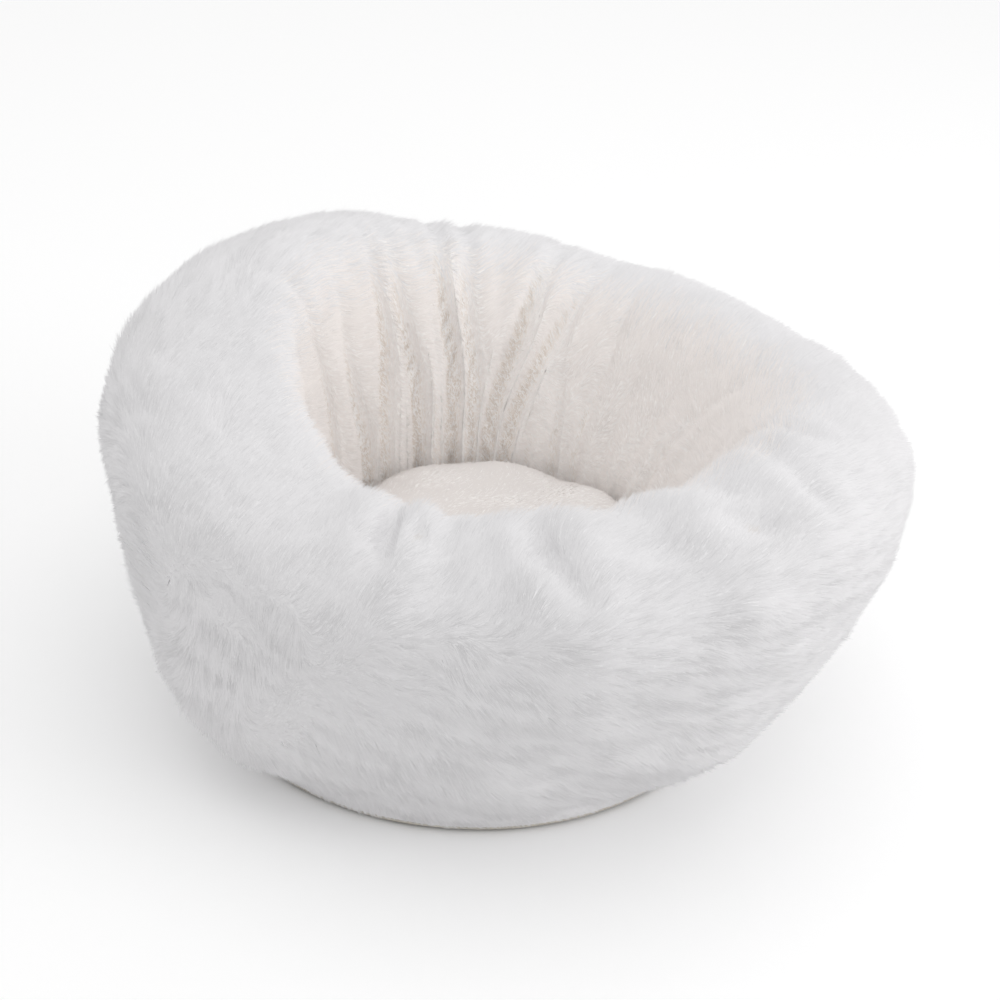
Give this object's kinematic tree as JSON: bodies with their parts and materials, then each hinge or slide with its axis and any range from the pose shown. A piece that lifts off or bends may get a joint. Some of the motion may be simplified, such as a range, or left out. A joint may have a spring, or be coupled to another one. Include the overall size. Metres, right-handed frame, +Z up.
{
  "type": "pet cushion bed",
  "caption": "Round plush nest bed for a cat or small dog: a fat fibre-filled ring wall round a gathered well, with a loose domed cushion and a low rear zip.",
  "frame": {"origin": "centre of the round base, on the surface that the bed stands on", "axes": "+Z up, +Y to the rear, where the zip is; the lowest part of the rim faces -Y, where the animal steps in"},
  "size_m": [0.496, 0.4898, 0.25],
  "materials": {
    "fibre": "loose polyester fibre, matt",
    "liner": "thin white non-woven, matt",
    "outer_plush": "long white plush pile, soft sheen",
    "inner_plush": "short off-white plush pile, matt",
    "cushion_plush": "short off-white plush pile, matt",
    "cushion_base": "plain beige woven fabric, matt",
    "lining": "plain off-white woven fabric, matt",
    "pad_fibre": "pressed polyester wadding, matt",
    "base_fabric": "beige woven non-slip fabric, matt",
    "grip_rubber": "moulded grip dots, matt",
    "tape": "white twill tape, matt",
    "zip_tape": "white herringbone zip tape, matt",
    "zip_coil": "white nylon coil, satin",
    "zip_metal": "white lacquered zinc, satin",
    "label": "blank white satin label"
  },
  "bodies": {
    "bed": {"wall_fill": "fibre", "fill_liner": "liner", "outer_cover": "outer_plush", "inner_cover": "inner_plush", "gather_tape": "tape", "well_floor": "lining", "base_pad": "pad_fibre", "base_panel": "base_fabric", "grip_dots": "grip_rubber", "care_label": "label", "zip_tape_lower": "zip_tape", "zip_tape_upper": "zip_tape", "zip_coil_lower": "zip_coil", "zip_coil_upper": "zip_coil", "zip_top_stops": "zip_metal", "zip_bottom_stop": "zip_metal"},
    "cushion": {"cushion_top": "cushion_plush", "cushion_bottom": "cushion_base", "cushion_fill": "fibre"},
    "zip_slider": {"zip_slider": "zip_metal"},
    "zip_pull": {"zip_pull_tab": "zip_metal"}
  },
  "joints": [
    {"name": "cushion_lift", "type": "slide", "parent": "bed", "child": "cushion", "axis": [0, 0, 1], "range_m": [0, 0.22]},
    {"name": "zip_travel", "type": "hinge", "parent": "bed", "child": "zip_slider", "pos_m": [0, 0, 0.01246], "axis": [0, 0, 1], "range_deg": [0, 93]},
    {"name": "zip_pull_swing", "type": "hinge", "parent": "zip_slider", "child": "zip_pull", "pos_m": [0.13042, 0.1229, 0.01246], "axis": [0.6858, -0.7278, 0], "range_deg": [-35, 120]}
  ]
}
